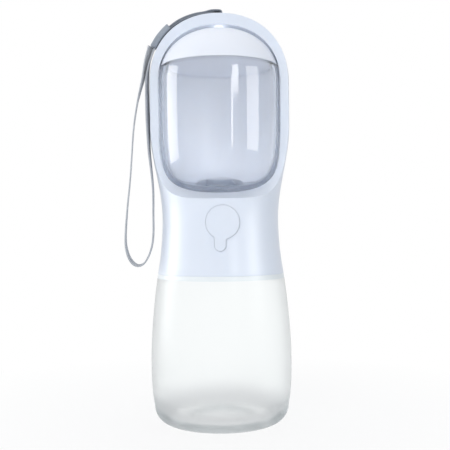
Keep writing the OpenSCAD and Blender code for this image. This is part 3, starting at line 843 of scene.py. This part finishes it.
def cut_away(piece, tool):
    """Takes the tool's solid out of the piece for good."""
    cut = piece.modifiers.new("cut", "BOOLEAN")
    cut.operation = "DIFFERENCE"
    cut.solver = "EXACT"
    cut.object = tool
    bpy.context.view_layer.update()
    done = bpy.data.meshes.new_from_object(piece.evaluated_get(bpy.context.evaluated_depsgraph_get()))
    piece.modifiers.clear()
    piece.data = done
    bpy.data.objects.remove(tool)


cut_away(head, solid("window", window_bm))
pocket_centre = (-0.5 * MM, 0, 206.2 * MM)
pocket_size = (7 * MM, 7 * MM, 9.8 * MM, 1)
pocket_bm = bmesh.new()
bmesh.ops.create_cube(pocket_bm, size=1,
                      matrix=Matrix.Translation(pocket_centre) @ Matrix.Diagonal(pocket_size))
upright = [e for e in pocket_bm.edges if abs(e.verts[0].co.z - e.verts[1].co.z) > 1 * MM]
bmesh.ops.bevel(pocket_bm, geom=upright, offset=0.8 * MM, offset_type="OFFSET", segments=4, profile=0.5,
                affect="EDGES", material=-1)
cut_away(head, solid("pocket", pocket_bm))
head.data.shade_smooth()
head.data.set_sharp_from_angle(angle=math.radians(42))


def white_plastic(name, colour, rough, coat):
    """Satin moulded plastic: a very fine spark-eroded grain, faint flow clouding, soft scattered light."""
    mat, tree, paint = new_material(name)
    cloud = noise(tree, 30)
    feed(tree, paint, {
        "Base Color": ramp(tree, cloud, [c * 0.975 for c in colour], colour, 0.3, 0.7),
        "Normal": bump(tree, noise(tree, 2600), 0.08, 0.05 * MM),
        "Roughness": span(tree, cloud, 0, 1, rough - 0.04, rough + 0.04),
        "Subsurface Weight": 0.15, "Subsurface Radius": (0.8, 0.9, 1.0), "Subsurface Scale": 1.2 * MM,
        "Coat Weight": coat, "Coat Roughness": 0.25})
    return mat


head_white = white_plastic("head_white", (0.80, 0.85, 0.94), 0.38, 0.2)
# The bay is painted a lighter white than the skin, though the head is one plastic, as painted light against
# the shade inside it
bay_white_painted_light = white_plastic("bay_white_painted_light", (0.91, 0.94, 1.0), 0.42, 0.1)
# Painted light: the bay glows faintly above the cap's edge, rising from 178 mm to 190 mm, in place of
# daylight in the slot over the cap
bay_tree = bay_white_painted_light.node_tree
bay_z = add_node(bay_tree, "SeparateXYZ", {0: on_object(bay_tree)}).outputs["Z"]
bay_glow_rise = span(bay_tree, bay_z, 178 * MM, 190 * MM)
feed(bay_tree, bay_tree.nodes["Principled BSDF"], {
    "Emission Color": ramp(bay_tree, bay_glow_rise, (0, 0, 0), (0.80, 0.86, 0.94)), "Emission Strength": 0.15})
head.data.materials.clear()
head.data.materials.append(head_white)
head.data.materials.append(bay_white_painted_light)
bay_span = capsule(-0.1 * MM, -0.1 * MM, -0.1 * MM)
second_material(head, lambda r, z: z > bay_floor - 0.1 * MM and r < edge_radius(bay_span, z))
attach(head, "head")
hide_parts("head_shell")

# ---- Cup, cap and cap plate ----
# The half-round cup is clear plastic with a thick base and a domed hub over the spigot. It is held in a
# white domed cap by a tongue, and the cap's conical stub turns in the crown.
cup_gap = 0.7 * MM
cup_wall_thick = 2.3 * MM
cap_wall_thick = 1.3 * MM
crown_gap = 1.8 * MM
cup_base = 3 * MM
cap_edge = 177.9 * MM


def cup_outline(inset, floor_gap):
    """Outline of the cup and its cap, inset inside their outer face."""
    return capsule(cup_gap + inset, floor_gap, crown_gap + inset)


outside = cup_outline(0, cup_gap)
inside = cup_outline(cup_wall_thick, cup_gap + cup_base)
tongue = cup_outline(cap_wall_thick + 0.1 * MM, 0)
rim = cap_edge - 0.2 * MM
tongue_top = cap_edge + 5 * MM
hub_radius = 12 * MM
spigot_bore = 5.06 * MM
wall_out = [(r, z) for r, z in outside if z < rim and r > spigot_bore]
wall_in = [(r, z) for r, z in inside if z < tongue_top - 0.1 * MM and r > hub_radius]
tongue_side = [(r, z) for r, z in tongue if rim < z < tongue_top]
cup_floor = bay_floor + cup_gap + cup_base
hub_high = 3.8 * MM
socket_radius = 6 * MM
socket_top = cup_floor + 1.9 * MM
hub = [(hub_radius * math.cos(a), cup_floor + hub_high * math.sin(a))
       for a in [math.pi / 2 * k / 14 for k in range(14)]] + [(0.0, cup_floor + hub_high)]
socket = [(0.0, socket_top), (socket_radius, socket_top), (socket_radius, cup_floor),
          (spigot_bore, cup_floor)]
cup_section = (
    [(spigot_bore, bay_floor + cup_gap)] + wall_out + [(edge_radius(outside, rim), rim)]
    + [(edge_radius(tongue, rim), rim)] + tongue_side
    + [(edge_radius(tongue, tongue_top), tongue_top), (edge_radius(inside, tongue_top), tongue_top)]
    + list(reversed(wall_in)) + hub + socket
)
cup = lathe("cup_shell", cup_section, steps=110, angle=math.pi)
cup.data.transform(Matrix.Rotation(math.pi, 4, "Z"))
hub_back = lathe("hub_back", [(spigot_bore, bay_floor + cup_gap), (hub_radius, bay_floor + cup_gap)]
                 + hub + socket, steps=110, angle=math.pi)
joined = bmesh.new()
joined.from_mesh(cup.data)
joined.from_mesh(hub_back.data)
bmesh.ops.remove_doubles(joined, verts=joined.verts, dist=3e-6)
joined.to_mesh(cup.data)
joined.free()
bpy.data.objects.remove(hub_back)
cup_plastic = clear_plastic("cup_plastic", (0.985, 0.99, 1.0), 0.07, 1.49, (0.52, 0.58, 0.68), 70,
                            (0.985, 0.99, 0.995), 0.04)
# The edges of the half cup, in the plane of the bottle's axis, are matt
cup_tree = cup_plastic.node_tree
cup_y = add_node(cup_tree, "SeparateXYZ", {0: on_object(cup_tree)}).outputs["Y"]
cup_rough = cup_tree.nodes["Principled BSDF"].inputs["Roughness"]
cup_matt = span(cup_tree, cup_y, -0.3 * MM, -0.1 * MM, 0, 0.6)
cup_haze = add_node(cup_tree, "Math", {0: cup_rough.links[0].from_socket, 1: cup_matt}, operation="ADD")
cup_tree.links.new(cup_haze.outputs[0], cup_rough)
cup.data.materials.append(cup_plastic)
cup.data.materials.append(bay_white_painted_light)
# The hub and its socket take the bay's lighter white, painted light that lifts the shade there
second_material(cup, lambda r, z: r < socket_radius + 0.1 * MM and z < cup_floor + 2 * MM)
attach(cup, "cup")
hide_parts("cup")

cap_face = cup_outline(0, 0)
cap_back = cup_outline(cap_wall_thick, 0)
cap_out = [(r, z) for r, z in cap_face if z > cap_edge + 0.3 * MM]
cap_in = [(r, z) for r, z in cap_back if z > cap_edge + 0.2 * MM]
stub = 1.95 * MM
stub_top = 200.2 * MM
cone_foot = 196.9 * MM
cone = [(stub + 1.7 * MM, cone_foot), (stub + 1.3 * MM, cone_foot + 0.6 * MM),
        (stub + 0.7 * MM, cone_foot + 1.3 * MM), (stub, cone_foot + 1.8 * MM),
        (stub, stub_top - 0.2 * MM), (stub - 0.2 * MM, stub_top), (0, stub_top)]
cap_radius = edge_radius(cap_face, cap_edge)
cap_profile = (
    [(cap_radius - 0.25 * MM, cap_edge), (cap_radius, cap_edge + 0.25 * MM)]
    + [p for p in cap_out if p[0] > stub + 2.0 * MM] + cone + list(reversed(cap_in))
    + [(edge_radius(cap_back, cap_edge), cap_edge)]
)
cap = lathe("cap_dome", cap_profile)
cap_white = white_plastic("cap_white", (0.89, 0.92, 1.0), 0.34, 0.25)
cap.data.materials.append(cap_white)
# Painted light: the cone glows, in place of light coming down the crown's bore
pivot_glow_white = white_plastic("pivot_glow_white", (0.95, 0.97, 1.0), 0.4, 0.1)
feed(pivot_glow_white.node_tree, pivot_glow_white.node_tree.nodes["Principled BSDF"],
     {"Emission Color": (0.92, 0.95, 1.0, 1), "Emission Strength": 0.45})
cap.data.materials.append(pivot_glow_white)
second_material(cap, lambda r, z: z > cone_foot + 0.05 * MM and r < stub + 1.7 * MM)
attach(cap, "cup")
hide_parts("cup_cap")

# ---- Push pad ----
# The pad is moulded in the head's white. Its face follows the neck and stands 0.8 mm out of it, with a
# softly rounded edge, and it slides straight in.
pad_proud = 0.8 * MM
pad_round = 1.1 * MM
rim_drop = 0.7 * MM
flange_face = -24.4 * MM
pad_bm = bmesh.new()
pad_face = pad_bm.faces.new([pad_bm.verts.new((x, 0, z)) for x, z in keyhole(0)])
from_edge = {v: 0.0 for v in pad_bm.verts}
drawn_in = 0.0
for inset in (0.08, 0.12, 0.2, 0.3, 0.4, 0.8, 0.6):
    bmesh.ops.inset_region(pad_bm, faces=[pad_face], thickness=inset * MM, use_even_offset=False)
    drawn_in += inset * MM
    for v in pad_face.verts:
        from_edge[v] = drawn_in
pushed = bmesh.ops.extrude_edge_only(pad_bm, edges=[e for e in pad_bm.edges if e.is_boundary])["geom"]
back_verts = {g for g in pushed if isinstance(g, bmesh.types.BMVert)}


def neck_face(x, z, out):
    """Y of the neck's face at x and z, moved out by this much."""
    r = head_side(z) + out
    return -math.sqrt(max(r * r - x * x, 0))


for v in pad_bm.verts:
    if v in back_verts:
        v.co.y = flange_face
    else:
        short = max(0.0, 1 - from_edge[v] / pad_round)
        v.co.y = neck_face(v.co.x, v.co.z, pad_proud - rim_drop * (1 - math.sqrt(1 - short * short)))
bmesh.ops.contextual_create(pad_bm, geom=[e for e in pad_bm.edges if e.is_boundary])
bmesh.ops.recalc_face_normals(pad_bm, faces=pad_bm.faces)
for face in pad_bm.faces:
    face.smooth = True
pad = solid("push_pad", pad_bm)
pad.data.set_sharp_from_angle(angle=math.radians(40))
pad.data.materials.append(head_white)
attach(pad, "button")
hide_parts("button_pad")

# ---- Inner parts ----
# The valve, its screws and seals keep their imported shapes: natural moulded plastic, silicone and plain
# stainless steel. The two coil springs are made again here, each hung on the body it moves with.
inner_white = white_plastic("inner_white", (0.74, 0.78, 0.84), 0.5, 0.0)


def rubber(name, colour, rough):
    """Moulded rubber: matt, with a faint bloom and a fine pitted skin."""
    mat, tree, paint = new_material(name)
    bloom = noise(tree, 400)
    feed(tree, paint, {"Base Color": ramp(tree, bloom, [c * 0.8 for c in colour], colour),
                       "Normal": bump(tree, bloom, 0.15, 0.05 * MM), "Roughness": rough})
    return mat


silicone = rubber("silicone", (0.72, 0.76, 0.82), 0.45)
cage_plastic = clear_plastic("cage_plastic", (1, 1, 1), 0.08, 1.1, (0.85, 0.87, 0.88), 8,
                             (0.985, 0.99, 0.99), 0.0)
steel, steel_tree, steel_paint = new_material("steel")
feed(steel_tree, steel_paint, {
    "Base Color": ramp(steel_tree, noise(steel_tree, 900), (0.45, 0.46, 0.48), (0.66, 0.67, 0.69)),
    "Metallic": 1, "Roughness": 0.3})
for node_name, finish in {
    "neck_seal": silicone, "valve_plug": silicone, "spigot_ring": silicone, "port_ring": silicone,
    "threaded_insert": inner_white, "valve_body": inner_white, "port_gland": inner_white,
    "spring_cage": cage_plastic, "valve_stem": inner_white, "button_rod": inner_white, "cap_plate": cap_white,
    "valve_screws": steel, "strap_pin": steel,
}.items():
    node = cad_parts[node_name]
    node.data.materials.clear()
    node.data.materials.append(finish)

wire_radius = 0.35 * MM


def coil_spring(name, mean_radius, start, end, turns, node_name, body):
    """Coil of steel wire from start to end, hung on the given body in place of the imported spring."""
    along = (end - start).normalized()
    side = along.orthogonal().normalized()
    other = along.cross(side)
    free = (end - start).length
    route, outwards = [], []
    for k in range(turns * 32 + 1):
        a = 2 * math.pi * k / 32
        outward = side * math.cos(a) + other * math.sin(a)
        rise = wire_radius + (free - 2 * wire_radius) * k / (turns * 32)
        route.append(start + along * rise + outward * mean_radius)
        outwards.append(outward)
    section = [Vector((wire_radius * math.cos(math.radians(a)), wire_radius * math.sin(math.radians(a)), 0))
               for a in range(0, 360, 36)]
    coil = sweep(name, section, route, outwards)
    coil.data.materials.append(steel)
    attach(coil, body)
    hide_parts(node_name)
    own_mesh(coil)


cage_floor = Vector((0, 0, 72.9 * MM))
stem_foot = Vector((0, 0, 80.8 * MM))
coil_spring("valve_coil", 3.5 * MM, cage_floor, stem_foot, 5, "valve_spring", "valve")
pad_back = Vector((0, -23 * MM, pad_height))
port_face = Vector((0, -15.2 * MM, pad_height))
coil_spring("button_coil", 4.25 * MM, pad_back, port_face, 4, "button_spring", "button")
